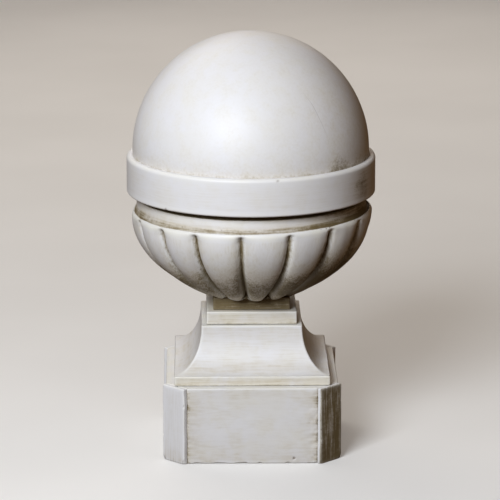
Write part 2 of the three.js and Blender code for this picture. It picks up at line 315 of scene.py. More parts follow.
def rounded_board(halves, rounding, step):
    """Points and faces of a board round the origin, with every arris and corner rounded."""
    halves = np.array(halves)
    points, faces = [], []
    first = 0
    for axis in range(3):
        u, v = [i for i in range(3) if i != axis]
        across, up = ticks(halves[u], rounding, step), ticks(halves[v], rounding, step)
        for side in (-1, 1):
            sheet = np.empty((len(across), len(up), 3))
            sheet[..., u], sheet[..., v] = np.meshgrid(across, up, indexing="ij")
            sheet[..., axis] = side * halves[axis]
            points.append(sheet.reshape(-1, 3))
            index = np.arange(len(across) * len(up)).reshape(len(across), len(up)) + first
            corners = (index[:-1, :-1], index[1:, :-1], index[1:, 1:], index[:-1, 1:])
            faces += np.stack(corners, -1).reshape(-1, 4).tolist()
            first += len(across) * len(up)
    points = np.vstack(points)
    core = np.clip(points, rounding - halves, halves - rounding)
    out = points - core
    return core + out / np.linalg.norm(out, axis=1)[:, None] * rounding, faces


def edge_gap(points, halves):
    """How far each point on a board's surface is from the nearest arris."""
    return np.sort(np.array(halves) - np.abs(points), axis=1)[:, 1]


# ------------------------------ shaders


class Shader:
    """A material's node tree, with short calls that each add a node and give its output."""

    def __init__(self, name):
        self.material = bpy.data.materials.new(name)
        self.material.use_nodes = True
        self.tree = self.material.node_tree
        self.surface = self.tree.nodes["Principled BSDF"]
        self.place = self.node("ShaderNodeTexCoord").outputs["Object"]

    def node(self, kind, inputs=None, **settings):
        made = self.tree.nodes.new(kind)
        for key, value in settings.items():
            setattr(made, key, value)
        for key, value in (inputs or {}).items():
            if isinstance(value, bpy.types.NodeSocket):
                self.tree.links.new(value, made.inputs[key])
            else:
                made.inputs[key].default_value = value
        return made

    def field(self, name):
        return self.node("ShaderNodeAttribute", attribute_name=name).outputs["Fac"]

    def noise(self, size, stretch=(1, 1, 1), detail=4.0, shift=0.0, distortion=0.0):
        """Noise from 0 to 1 whose lumps are about size across, or stretch times that along each axis."""
        scale = [1 / (size * part) for part in stretch]
        mapping = {"Vector": self.place, "Scale": scale, "Location": (shift, shift, shift)}
        moved = self.node("ShaderNodeMapping", mapping).outputs[0]
        inputs = {"Vector": moved, "Scale": 1.0, "Detail": detail, "Distortion": distortion}
        return self.node("ShaderNodeTexNoise", inputs).outputs[0]

    def math(self, operation, first, second, clamp=False):
        made = self.node("ShaderNodeMath", {0: first, 1: second}, operation=operation, use_clamp=clamp)
        return made.outputs[0]

    def climb(self, value, low, high, bottom=0.0, top=1.0):
        """value carried from low..high to bottom..top, smoothly and held at both ends."""
        inputs = {"Value": value, "From Min": low, "From Max": high, "To Min": bottom, "To Max": top}
        return self.node("ShaderNodeMapRange", inputs, interpolation_type="SMOOTHSTEP").outputs[0]

    def mix(self, share, first, second):
        """A blend of two colours, which are sockets 6 and 7 of the node."""
        made = self.node("ShaderNodeMix", data_type="RGBA")
        for index, value in ((0, share), (6, first), (7, second)):
            if isinstance(value, bpy.types.NodeSocket):
                self.tree.links.new(value, made.inputs[index])
            else:
                made.inputs[index].default_value = (*value, 1.0) if index else value
        return made.outputs[2]

    def bump(self, height, distance, normal=None):
        inputs = {"Height": height, "Distance": distance}
        if normal is not None:
            inputs["Normal"] = normal
        return self.node("ShaderNodeBump", inputs).outputs[0]

    def finish(self, color, roughness, normal, **constants):
        links = {"Base Color": color, "Roughness": roughness, "Normal": normal}
        for key, value in links.items():
            self.tree.links.new(value, self.surface.inputs[key])
        for key, value in constants.items():
            self.surface.inputs[key.replace("_", " ")].default_value = value
        return self.material


LEVEL = (12, 12, 0.6)  # brush strokes laid sideways
SCUMBLED = (5, 5, 0.9)  # short soft strokes laid sideways
UPRIGHT = (0.6, 0.6, 12)  # brush strokes laid up and down
ROUND = (1, 1, 1)  # no direction, as where paint was rubbed smooth


def paint(name, strokes, warmth, glaze_level, streaks, relief, hairline=False):
    """Antiqued off-white paint. warmth is the share of warm white in it, glaze_level how much glaze was left
    all over, streaks how uneven it is, and relief how far the brush marks stand up. hairline is for a mesh
    with a crack."""
    shader = Shader(name)
    glaze_and_shade, wear_and_highlight, chip = (shader.field(field) for field in ("glaze_and_shade", "wear_and_highlight", "chip"))
    cloud = shader.noise(46 * MM, detail=3.0, distortion=0.6)
    patch = shader.noise(15 * MM, detail=5.0, shift=3.1)
    along = shader.noise(2.6 * MM, strokes, detail=5.0, shift=1.7)
    blot = shader.noise(6 * MM, detail=6.0, shift=7.9)
    stroke = shader.math("ADD", shader.math("MULTIPLY", along, 0.7), shader.math("MULTIPLY", blot, 0.3))
    hair = shader.noise(0.75 * MM, strokes, detail=3.0, shift=5.3)
    speck = shader.noise(1.5 * MM, detail=2.0, shift=9.2)

    # The white under the glaze, warmer in clouds and patches and along some of the brush's hairs.
    tone = shader.mix(shader.climb(cloud, 0.36, 0.66, 0.3 * warmth, warmth), COOL_WHITE, WARM_WHITE)
    tone = shader.mix(shader.climb(patch, 0.42, 0.66, 0.0, 0.8 * warmth), tone, WARM_WHITE)
    tone = shader.mix(shader.climb(hair, 0.3, 0.7, 0.0, 0.35 * streaks), tone, CREAM)

    # A thin film of glaze in streaks, and thick glaze and painted shade where the mesh's field carries them,
    # broken by the brush.
    film = shader.climb(stroke, 0.42, 0.68, 0.0, streaks)
    film = shader.math("MULTIPLY", film, shader.climb(patch, 0.3, 0.68, 0.35, 1.25))
    film = shader.math("ADD", film, glaze_level)
    heavy_glaze_and_shade = shader.math("MULTIPLY", glaze_and_shade, shader.climb(patch, 0.28, 0.7, 0.88, 1.1))
    heavy_glaze_and_shade = shader.math("MULTIPLY", heavy_glaze_and_shade, shader.climb(stroke, 0.3, 0.7, 0.72, 1.28))
    heavy_glaze_and_shade = shader.math("MULTIPLY", heavy_glaze_and_shade, shader.climb(speck, 0.3, 0.7, 0.94, 1.06))
    film = shader.math("ADD", film, shader.math("MULTIPLY", heavy_glaze_and_shade, 0.8))
    film = shader.math("SUBTRACT", film, shader.math("MULTIPLY", wear_and_highlight, 0.75), clamp=True)
    tone = shader.mix(film, tone, BEIGE_GLAZE)
    tone = shader.mix(shader.climb(heavy_glaze_and_shade, 0.30, 1.0, 0.0, 0.92), tone, OLIVE_GLAZE)

    # Arrises rubbed bright and painted highlights where the mesh's field carries them, then flecks, chips
    # and the crack, which show what is under the paint.
    rubbed_and_highlit = shader.math("MULTIPLY", wear_and_highlight, shader.climb(patch, 0.3, 0.6, 0.45, 1.0))
    tone = shader.mix(shader.math("MULTIPLY", rubbed_and_highlit, 0.55), tone, CREAM)
    speckled = shader.math("ADD", speck, shader.climb(glaze_and_shade, 0.1, 0.6, -0.2, 0.0))
    flecks = shader.math("MULTIPLY", shader.climb(speckled, 0.60, 0.69), 0.4)
    bare = shader.math("MAXIMUM", chip, flecks)
    if hairline:
        gap = shader.math("ABSOLUTE", shader.field("hairline"), 0.0)
        bare = shader.math("MAXIMUM", bare, shader.climb(gap, 0.05 * MM, 0.45 * MM, 0.3, 0.0))
    tone = shader.mix(bare, tone, CHIP_BROWN)

    roughness = shader.climb(hair, 0.2, 0.8, 0.44, 0.54)
    roughness = shader.math("ADD", roughness, shader.math("MULTIPLY", film, 0.16))
    roughness = shader.math("ADD", roughness, shader.math("MULTIPLY", bare, 0.25), clamp=True)

    normal = shader.bump(stroke, relief)
    normal = shader.bump(hair, 0.35 * relief, normal=normal)
    normal = shader.bump(speck, 0.03 * MM, normal=normal)
    normal = shader.bump(bare, -0.25 * MM, normal=normal)
    return shader.finish(tone, roughness, normal, IOR=1.47)


def timber(name, early, late, grain_axis):
    """Bare planed wood, with growth rings as long bands and pores as short dashes along grain_axis."""
    shader = Shader(name)
    long_way = [14.0 if axis == grain_axis else 1.0 for axis in "XYZ"]
    ring = shader.noise(5 * MM, long_way, detail=3.0, distortion=0.8)
    bands = shader.math("PINGPONG", shader.math("MULTIPLY", ring, 9.0), 1.0)
    pore = shader.noise(0.6 * MM, long_way, detail=4.0, shift=2.2)
    darkening = shader.noise(30 * MM, detail=4.0, shift=4.4)
    tone = shader.mix(shader.climb(bands, 0.35, 0.95), early, late)
    tone = shader.mix(shader.climb(pore, 0.5, 0.75, 0.0, 0.55), tone, late)
    tone = shader.mix(shader.climb(darkening, 0.5, 0.8, 0.0, 0.45), tone, TIMBER_SOIL)
    roughness = shader.climb(pore, 0.2, 0.8, 0.62, 0.82)
    normal = shader.bump(bands, 0.06 * MM)
    normal = shader.bump(pore, 0.10 * MM, normal=normal)
    return shader.finish(tone, roughness, normal, IOR=1.45)


def zinc_plate(name):
    """Bright zinc plate with spangle, handling marks and a little white bloom."""
    shader = Shader(name)
    spangle = shader.noise(2.2 * MM, detail=2.0)
    scratch = shader.noise(0.5 * MM, (1, 1, 9), detail=3.0, shift=1.3)
    bloom = shader.noise(9 * MM, detail=5.0, shift=6.1)
    tone = shader.mix(shader.climb(spangle, 0.35, 0.65, 0.0, 0.5), ZINC, ZINC_SPANGLE)
    tone = shader.mix(shader.climb(bloom, 0.55, 0.75, 0.0, 0.6), tone, ZINC_BLOOM)
    roughness = shader.climb(scratch, 0.25, 0.75, 0.24, 0.46)
    roughness = shader.math("ADD", roughness, shader.climb(bloom, 0.55, 0.75, 0.0, 0.3))
    normal = shader.bump(scratch, 0.02 * MM)
    return shader.finish(tone, roughness, normal, Metallic=1.0)


dome_paint = paint("dome_paint", ROUND, 0.35, 0.0, 0.07, 0.010 * MM, hairline=True)
band_paint = paint("band_paint", LEVEL, 0.25, 0.01, 0.07, 0.025 * MM)
collar_paint = paint("collar_paint", LEVEL, 0.5, 0.12, 0.13, 0.04 * MM)
bowl_paint = paint("bowl_paint", UPRIGHT, 0.5, 0.07, 0.16, 0.04 * MM)
step_paint = paint("step_paint", LEVEL, 1.0, 0.12, 0.26, 0.05 * MM)
cove_paint = paint("cove_paint", LEVEL, 0.4, 0.01, 0.16, 0.05 * MM)
panel_paint = paint("panel_paint", SCUMBLED, 0.45, 0.04, 0.12, 0.05 * MM)
strip_paint = paint("strip_paint", UPRIGHT, 0.05, 0.03, 0.14, 0.06 * MM)
inside_timber = timber("inside_timber", SOFTWOOD, SOFTWOOD_LATE, "X")
core_timber = timber("core_timber", SOFTWOOD, SOFTWOOD_LATE, "Z")
dowel_beech = timber("dowel_beech", BEECH, BEECH_FLECK, "Z")
zinc = zinc_plate("zinc_plate")


# ------------------------------ dome and band


def dome():
    """A hollow half ball, sitting in the band's rebate."""
    low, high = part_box("dome")
    radius = (high.x - low.x) / 2
    centre = high.z - radius
    bore = radius - DOME_WALL
    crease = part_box("band_ring")[1].z
    skirt = run((radius, low.z), (radius, centre), FINE)
    outside = arc((0, centre), (radius, radius), 0, 90, 110)
    inside = arc((0, centre), (bore, bore), 90, 0, 30)
    profile = np.vstack((skirt, outside, inside, [(bore, low.z)]))
    above = np.abs(profile[:, 1] - crease)
    glaze_and_shade = 0.05 * fading(above, 1.6 * MM) + 0.38 * fading(above, 7 * MM)
    fields = {"glaze_and_shade": glaze_and_shade, "wear_and_highlight": 0 * glaze_and_shade, "chip": 0 * glaze_and_shade}
    pits = ("glaze_and_shade", near_place((0.72, -0.69), crease + 7 * MM, radius), 9 * MM, 0.27)
    haze = ("glaze_and_shade", near_place((0.90, -0.44), crease + 30 * MM, radius), 70 * MM, 0.24)
    piece = turned_piece("dome_shell", profile, fields, [dome_paint], ["dome"],
                         wobble=0.16 * MM, drift=DOME_DRIFT, patches=[pits, haze])
    points = np.empty(len(piece.data.vertices) * 3)
    piece.data.vertices.foreach_get("co", points)
    gaps = hairline_gaps(points.reshape(-1, 3) - (0, 0, centre))
    layer = piece.data.attributes.new("hairline", "FLOAT", "POINT")
    layer.data.foreach_set("value", gaps.astype(np.float32))


def hairline_gaps(spokes):
    """How far each point of the dome is to the side of a crack, given as spokes from the ball's centre."""
    # The crack's two ends, as directions, where it closes up.
    top = np.array([0.42, -0.66, 0.62])
    foot = np.array([0.62, -0.75, 0.24])
    side = np.cross(top, foot)
    side = side / np.linalg.norm(side)
    lengthwise = foot - top
    directions = spokes / np.linalg.norm(spokes, axis=1)[:, None]
    reach = (directions - top) @ lengthwise / (lengthwise @ lengthwise)
    open_share = np.clip(np.sin(math.pi * np.clip(reach, 0, 1)), 0.001, 1)
    wander = 0.9 * MM * noise(spokes, 16 * MM, 71) + 5 * MM * (reach - 0.5) ** 2
    return (spokes @ side + wander) / open_share


def band():
    """The plain ring: square below, well rounded above, with a rebate for the dome."""
    low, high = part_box("band_ring")
    dome_low, dome_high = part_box("dome")
    room_to_wobble = 0.2 * MM
    radius = (high.x - low.x) / 2 - room_to_wobble
    seat = (dome_high.x - dome_low.x) / 2 + 0.05 * MM
    ledge = dome_low.z - REST_GAP
    bore = seat - 24 * MM
    corners = [
        (bore, low.z, 1 * MM),
        (radius, low.z, 1.8 * MM),
        (radius, high.z, 3.6 * MM),
        (seat, high.z, 0.8 * MM),
        (seat, ledge, 0.5 * MM),
        (bore, ledge, 1 * MM),
    ]
    profile = rounded(corners, FINE, 7)
    wear_and_highlight = 0.85 * near(profile, [(radius - MM, high.z - MM)], 2.4 * MM)
    wear_and_highlight = wear_and_highlight + 0.5 * near(profile, [(radius, low.z + 3 * MM)], 1.5 * MM)
    # Glaze in the crease at the dome's foot, and painted shade on the band's underside and in its bore.
    glaze_and_shade = 0.15 * near(profile, [(seat, high.z)], 1.2 * MM) + 0.45 * near(profile, [(bore, low.z)], 20 * MM)
    glaze_and_shade = glaze_and_shade + 0.45 * near(profile, [(radius, low.z)], 1.2 * MM)
    fields = {"glaze_and_shade": glaze_and_shade, "wear_and_highlight": wear_and_highlight, "chip": 0 * glaze_and_shade}
    pits = ("glaze_and_shade", near_place((0.87, -0.50), (low.z + high.z) / 2, radius), 19 * MM, 0.56)
    low_nick = ("chip", near_place((-0.68, -0.73), low.z + 0.4 * MM, radius), 1.5 * MM, 1.0)
    top_nick = ("chip", near_place((0.19, -0.98), high.z - 1.6 * MM, radius), 1.2 * MM, 0.6)
    turned_piece("band", profile, fields, [band_paint], ["band_ring"],
                 wobble=0.14 * MM, patches=[pits, low_nick, top_nick])


def collar():
    """The plain neck under the band, whose pad holds the band off it and leaves a shadow gap."""
    low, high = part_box("collar_disc")
    band_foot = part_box("band_ring")[0].z
    pad_top = band_foot - REST_GAP
    top = band_foot - SHADOW_GAP
    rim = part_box("carved_bowl")[1].z
    foot = rim - 2.2 * MM
    radius = (high.x - low.x) / 2
    spigot = 98 * MM
    pad = 108 * MM
    crest = GIRTH_RADIUS - SHOULDER_DEPTH - 0.6 * MM
    corners = [
        (ROD_HOLE_RADIUS, low.z, 0.5 * MM),
        (spigot, low.z, 0.5 * MM),
        (spigot, foot, 0.3 * MM),
        (crest, foot, 0.3 * MM),
        (crest, rim - 0.6 * MM, 0.6 * MM),
        (radius - 0.7 * MM, rim + FILLET_RISE, 3 * MM),
        (radius - 1.8 * MM, top, 0.9 * MM),
        (pad, top, 0.5 * MM),
        (pad, pad_top, 0.5 * MM),
        (ROD_HOLE_RADIUS, pad_top, 0.5 * MM),
    ]
    profile = rounded(corners, FINE)
    above = profile[:, 1] - rim
    # Painted shade deep in the shadow gap under the band.
    painted_gap_shade = rise(radius - 1.4 * MM - profile[:, 0], 0, MM)
    in_crease = 1 - rise(above, 0.5 * FILLET_RISE, 1.6 * FILLET_RISE)
    glaze_and_shade = np.maximum(0.55 * in_crease, 1.2 * painted_gap_shade)
    wear_and_highlight = 0.4 * near(profile, [(radius - 1.8 * MM, top)], 1.2 * MM)
    fields = {"glaze_and_shade": glaze_and_shade, "wear_and_highlight": wear_and_highlight, "chip": 0 * glaze_and_shade}
    lean = BOWL_LEAN * (1 - rise(above, 0, 2 * FILLET_RISE))
    # Painted shade over the collar's right-hand side, away from the key light; the left end is darker too.
    painted_shade_right = ("glaze_and_shade", near_place((0.95, -0.31), rim, radius), 80 * MM, 0.72)
    darker_left_end = ("glaze_and_shade", near_place((-0.95, -0.31), rim, radius), 35 * MM, 0.24)
    turned_piece("collar", profile, fields, [collar_paint], ["collar_disc"],
                 wobble=0.2 * MM, lean=lean, patches=[painted_shade_right, darker_left_end])


# ------------------------------ bowl


def bowl_profile():
    """The bowl's outline before carving: from its foot up the outside, then from its rim down the inside."""
    low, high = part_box("carved_bowl")
    girth = high.z + RIM_RISE - SHOULDER_DROP
    tip_fall = (1 - (TIP_RADIUS / GIRTH_RADIUS) ** (1 / PROFILE_ROUND)) ** (1 / PROFILE_POWER)
    fall = tip_fall * np.sin(np.radians(np.linspace(90, 0, 84)))
    radius = GIRTH_RADIUS * (1 - fall**PROFILE_POWER) ** PROFILE_ROUND
    flank = np.column_stack((radius, girth - PROFILE_REACH * fall))
    tip = flank[0, 1]
    under = arc((FOOT_RADIUS, tip), (TIP_RADIUS - FOOT_RADIUS, tip - low.z), -90, -6, 10)
    crest = GIRTH_RADIUS - SHOULDER_DEPTH
    shoulder = arc((crest, girth), (SHOULDER_DEPTH, SHOULDER_DROP), 6, 90, 12)
    rebate = girth + SHOULDER_DROP - REBATE_DEPTH
    inner = high.z - 60 * MM
    inside = [
        (crest - 0.2 * MM, rebate),
        (99 * MM, rebate),
        (97 * MM, high.z - 20 * MM),
        (80 * MM, high.z - 48 * MM),
        (62 * MM, inner),
        (ROD_HOLE_RADIUS, inner),
        (ROD_HOLE_RADIUS, low.z),
    ]
    outside = np.vstack((under, flank[1:-1], shoulder))
    return outside, np.array(inside)


def bowl_columns():
    """Each column's angle round the bowl, its place across its lobe from -1 to 1, and its lobe's width."""
    grooves = [LOBE_TURN + math.radians(360 / LOBES * i + drift) for i, drift in enumerate(GROOVE_DRIFTS)]
    ends = [*grooves[1:], grooves[0] + 2 * math.pi]
    spot = np.arange(COLUMNS_PER_LOBE) / COLUMNS_PER_LOBE
    spot = spot - GROOVE_CROWDING * np.sin(2 * math.pi * spot)
    angles = np.concatenate([start + (end - start) * spot for start, end in zip(grooves, ends)])
    widths = np.repeat([end - start for start, end in zip(grooves, ends)], COLUMNS_PER_LOBE)
    return angles, np.tile(2 * spot - 1, LOBES), widths


def carved_depth(from_foot, from_groove, across):
    """How deep the bowl is carved: a broad fall from each lobe's crest, and a V along each groove."""
    from_top = from_foot[-1] - from_foot
    climb = from_foot / from_foot[-1]
    fade = (0.12 + 0.88 * rise(from_top, 1.5 * MM, 12 * MM)) * rise(from_foot, 0, 10 * MM)
    depth = (GROOVE_TIP_DEPTH + (GROOVE_DEPTH - GROOVE_TIP_DEPTH) * np.sin(math.pi * climb**0.8)) * fade
    lobe = np.repeat(np.arange(LOBES), COLUMNS_PER_LOBE)
    depth = depth * (1 + 0.16 * lattice(np.column_stack((lobe, lobe, lobe)), 5))
    v_fade = rise(from_top, 2 * MM, 6 * MM) * rise(from_foot, 2 * MM, 12 * MM)
    v_cut = np.clip(1 - from_groove / V_REACH, 0, 1) ** V_POWER
    return depth * np.abs(across) ** GROOVE_FLANK + V_DEPTH * v_fade * v_cut


def bowl_glaze_and_shade(angles, across, from_top, from_groove, above_foot):
    """Glaze in the grooves and under the rim, and painted shade: towards the foot (with some olive glaze),
    on the bowl's right-hand side, and on the lobes' flanks, most on their right flanks away from the key
    light.
    """
    # right_side marks the side away from the key light; the grooves' glaze is widened there as painted
    # shade.
    right_side = rise(np.sin(angles), 0.25, 0.90)
    hollow_width = 3.8 * MM * (1 + 0.3 * right_side)
    hollow = 0.95 * np.exp(-((from_groove / hollow_width) ** 1.2)) * rise(from_top, 1 * MM, 5 * MM)
    # Painted shade on each lobe's flanks, most on the right flank and wider on the right-hand side.
    painted_right_flank_shade = 0.66 * np.abs(across) ** (3.2 - 1.7 * right_side)
    flank = np.where(across > 0, painted_right_flank_shade, 0.36 * np.abs(across) ** 5)
    flank = flank * (1 + 1.1 * right_side) * rise(from_top, 4 * MM, 22 * MM)
    # Painted shade on the underside towards the foot, with some olive glaze.
    bottom = (0.5 + 0.45 * rise(above_foot, 0, 16 * MM)) * (1 - rise(above_foot, 10 * MM, 54 * MM))
    bottom = bottom * (0.85 + 0.15 * rise(np.sin(angles), -0.3, 0.4))
    # Painted shade over the bowl's right-hand side.
    right_side_shade = 0.50 * right_side * rise(from_top, 4 * MM, 46 * MM)
    under_rim = 0.8 * fading(from_top, 1.1 * MM)
    return np.maximum(np.maximum(hollow + 0.5 * right_side_shade, flank + bottom + right_side_shade), under_rim)


def bowl():
    """Sixteen convex lobes with V grooves between them, carved a little unevenly into the bowl."""
    outside, inside = bowl_profile()
    rim = outside[:, 1].max()
    foot = outside[:, 1].min()
    angles, across, widths = bowl_columns()
    steps = np.linalg.norm(np.diff(outside, axis=0), axis=1)
    from_foot = np.concatenate(([0], np.cumsum(steps)))[:, None]
    from_top = from_foot[-1] - from_foot
    from_groove = (1 - np.abs(across)) * (outside[:, :1] * widths / 2)
    slope = np.gradient(outside, axis=0)
    slope = slope / np.linalg.norm(slope, axis=1)[:, None]
    sunk = carved_depth(from_foot, from_groove, across)
    unseen = np.zeros((len(inside), len(angles)))
    radius = np.vstack((outside[:, :1] - slope[:, 1:] * sunk, inside[:, :1] + unseen))
    height = np.vstack((outside[:, 1:] + slope[:, :1] * sunk, inside[:, 1:] + unseen))
    points = swept(radius, angles, height).reshape(-1, 3)

    # Tool marks, and the lean and drift of the rim, on the carved side only.
    carved = np.vstack((1 + 0 * sunk, unseen)).ravel()
    waves = 0.22 * MM * noise(points, (9 * MM, 9 * MM, 26 * MM), 11) + 0.45 * MM * noise(points, 38 * MM, 12)
    scale = 1 + carved * waves / np.maximum(np.linalg.norm(points[:, :2], axis=1), 20 * MM)
    points[:, :2] *= scale[:, None]
    lift = rise(points[:, 2], foot, rim) * carved
    points[:, 2] += BOWL_LEAN * points[:, 0] * lift
    points[:, 0] += BOWL_DRIFT * lift

    # The shoulders are rubbed bright, with a painted highlight on them too, the lips of the grooves carry
    # painted highlights, and the rim is chipped.
    darkening = bowl_glaze_and_shade(angles, across, from_top, from_groove, outside[:, 1:] - foot)
    shoulder = bell(from_top - 4.5 * MM, 3.2 * MM) * (1 - 0.7 * np.abs(across) ** 12)
    painted_lip_highlights = 0.5 * bell(from_groove - 3.4 * MM, 1.4 * MM) * rise(from_top, 6 * MM, 14 * MM)
    rim_band = np.vstack((bell(from_top - 1.8 * MM, 1.6 * MM) + 0 * sunk, unseen)).ravel()
    spotty = noise(points, 1.7 * MM, 21) + 0.7 * noise(points, 14 * MM, 22)
    fields = {
        "glaze_and_shade": np.vstack((darkening, 0.3 + unseen)).ravel(),
        "wear_and_highlight": np.vstack((1.2 * shoulder + painted_lip_highlights, unseen)).ravel(),
        "chip": 0.8 * rise(spotty * rim_band, 0.60, 0.95),
    }
    faces = grid_faces(*radius.shape)
    make_piece("bowl", points, faces, fields, [bowl_paint], ["carved_bowl"])


# ------------------------------ pedestal


def rough_board(points, amount, seed):
    """A board's points, out of flat by slow waves and by the lie of the brush."""
    wave = noise(points, 34 * MM, seed) + 0.35 * noise(points, (26 * MM, 26 * MM, 5 * MM), seed + 1)
    return points * (1 + (amount * wave / np.maximum(np.linalg.norm(points, axis=1), 20 * MM))[:, None])


def square_board(name, node, creases, darkening, seed):
    """A square board with its arrises rubbed bright. creases gives the heights where it darkens and how
    much,
    and darkening how dark the rest is: glaze, and on the top step the bowl's painted shadow as well."""
    low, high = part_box(node)
    halves = (high - low) / 2
    centre = (high + low) / 2
    points, faces = rounded_board(halves, ARRIS, FINE)
    gap = edge_gap(points, halves)
    points = rough_board(points, 0.22 * MM, seed)
    points = points + np.array(centre)
    wear_and_highlight = fading(gap, 1.1 * MM)
    heavy_glaze_and_shade = [depth * fading(np.abs(points[:, 2] - height), 3.5 * MM) for height, depth in creases]
    glaze_and_shade = np.maximum(np.max(heavy_glaze_and_shade, axis=0), darkening)
    fields = {"glaze_and_shade": glaze_and_shade, "wear_and_highlight": wear_and_highlight * (1 - 0.8 * glaze_and_shade), "chip": 0 * glaze_and_shade}
    make_piece(name, points, faces, fields, [step_paint], [node])


def cove_outline():
    """The cove's section as (out from the axis, height): a quarter-ellipse hollow with a small lip above."""
    low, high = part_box("cove_front")
    toe = -low.y
    back = -high.y
    lip_out = 50 * MM
    lip = 1.6 * MM
    hollow = arc((toe, high.z - lip), (toe - lip_out, high.z - lip - low.z), 270, 180, 46)
    top_round = arc((lip_out - 0.8 * MM, high.z - 0.8 * MM), (0.8 * MM, 0.8 * MM), 0, 90, 4)
    return np.vstack((hollow, top_round, [(back, high.z), (back, low.z)]))


def cove(side, quarter_turns):
    """One of the four mouldings, mitred to its neighbours, with the hips' arrises rounded."""
    low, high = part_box("cove_front")
    outline = cove_outline()
    out = outline[:, :1]
    flat = np.linspace(-1, 1, 2 * math.ceil(high.x / (1.6 * MM)) + 1)
    bend = np.radians([9, 18, 27, 36, 45])
    along = np.concatenate((-1 - bend[::-1], flat, 1 + bend))
    turn = np.maximum(np.abs(along) - 1, 0)
    # The hips are rubbed rounder at the toe, where hands and weather reach them.
    arris = HIP_ARRIS + TOE_ROUNDING * fading(outline[:, 1:] - low.z, 3 * MM)
    x = np.sign(along) * (np.minimum(np.abs(along), 1) * (out - arris) + arris * np.sin(turn))
    y = -(out - arris + arris * np.cos(turn))
    z = outline[:, 1:] + 0 * along
    points = np.stack((x, y, z), axis=-1)
    rows, columns = points.shape[:2]
    index = np.arange(rows * columns).reshape(rows, columns)
    below = np.roll(index, -1, axis=0)
    faces = np.stack((index[:, :-1], below[:, :-1], below[:, 1:], index[:, 1:]), -1).reshape(-1, 4).tolist()
    faces += [index[:, 0].tolist(), index[::-1, -1].tolist()]
    points = points.reshape(-1, 3)
    hip_gap = (out + 0 * along).ravel() - np.abs(points[:, 0])
    wave = 0.3 * MM * noise(points + (0, 0, quarter_turns), (38 * MM, 38 * MM, 10 * MM), 31)
    points[:, 1] += wave * rise(hip_gap, 0, 12 * MM)
    wear_and_highlight = np.clip(fading(hip_gap, 1.0 * MM) + fading(high.z - points[:, 2], 0.9 * MM), 0, 1)
    level = (points[:, 2] - low.z) / (high.z - low.z)
    # Darker at the top and foot: glaze, and painted shade leaving the middle bright as if lit.
    bands = 0.23 * bell(level - 0.13, 0.11) + 0.30 * fading(1 - level, 0.30)
    ragged = 1 + 0.35 * noise(points + (0, 0, quarter_turns), (60 * MM, 60 * MM, 4.5 * MM), 33)
    glaze_and_shade = bands * ragged * (1 - wear_and_highlight)
    fields = {"glaze_and_shade": glaze_and_shade, "wear_and_highlight": wear_and_highlight, "chip": 0 * glaze_and_shade}
    points = turn_points(points, quarter_turns)
    make_piece(f"cove_{side}_moulding", points, faces, fields, [cove_paint], [f"cove_{side}"])


# ------------------------------ plinth


def panel(side, quarter_turns):
    """One side of the plinth box, painted outside and bare inside. Its ends lie behind the corner strips."""
    low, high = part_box("panel_front")
    face = -low.y
    inside = -high.y
    half_height = (high.z - low.z) / 2
    half_width = high.x
    halves = np.array([half_width, (face - inside) / 2, half_height])
    points, faces = rounded_board(halves, ARRIS, FINE)
    gap_top = half_height - np.abs(points[:, 2])
    middle = -(face + inside) / 2
    depth = -(points[:, 1] + middle)
    # The ends follow the chamfer behind the strip, then the mitre inside it.
    chamfer_gap = 2 * half_width + 0.6 * MM
    reach = np.minimum(chamfer_gap - depth, depth - 0.3 * MM)
    points[:, 0] *= reach / half_width
    points[:, 1] += middle
    points[:, 2] += half_height + low.z
    outer = rise(depth, inside + 4 * MM, face - MM)
    strip_gap = (chamfer_gap - face) - np.abs(points[:, 0])
    here = points + (0, 0, 0.5 * quarter_turns)
    wave = 0.45 * noise(here, (48 * MM, 48 * MM, 16 * MM), 41)
    wave = wave + 0.25 * noise(here, (20 * MM, 20 * MM, 5 * MM), 42)
    caked = noise(here, 2.6 * MM, 43) * bell(strip_gap, 8 * MM) * np.where(points[:, 0] > 0, 1, 0.45)
    points[:, 1] -= outer * (0.26 * MM * wave + 0.5 * MM * caked) * rise(gap_top, 0, 4 * MM)
    above_foot = points[:, 2] - low.z
    worn_foot = rise(noise(here, 7 * MM, 45), 0.1, 0.8) * fading(above_foot, 1.6 * MM) * outer
    points[:, 2] += 1.5 * MM * worn_foot
    wear_and_highlight = fading(gap_top, 1.3 * MM)
    edges = np.minimum(np.abs(strip_gap), 0.9 * above_foot + 2 * MM)
    edges = np.minimum(edges, 1.8 * (high.z - points[:, 2]) + 3 * MM)
    ragged = 1 + 0.5 * noise(here, (24 * MM, 24 * MM, 7 * MM), 44)
    # Glaze along the edges, and a thin line of painted shade beside each strip.
    glaze_and_shade = 0.42 * fading(edges, 11 * MM) * ragged + 0.16 * fading(np.abs(strip_gap), 1.0 * MM)
    chip = 0.6 * rise(worn_foot, 0.35, 0.8)
    if side == "front":
        nail_gap = nearest(points, [(NAIL_HOLE[0], -face, NAIL_HOLE[1])])
        nail_hole = rise(-nail_gap, -1.5 * MM, -0.6 * MM)
        points[:, 1] += 1.2 * MM * nail_hole
        chip = chip + nail_hole
    fields = {"glaze_and_shade": glaze_and_shade * outer, "wear_and_highlight": wear_and_highlight * outer, "chip": chip}
    points = turn_points(points, quarter_turns)

    def bare(centres):
        return -turn_points(centres, -quarter_turns)[:, 1] < inside + 1.5 * MM

    materials = [panel_paint, inside_timber]
    nodes = [f"panel_{side}"]
    make_piece(f"plinth_{side}_panel", points, faces, fields, materials, nodes, bare)


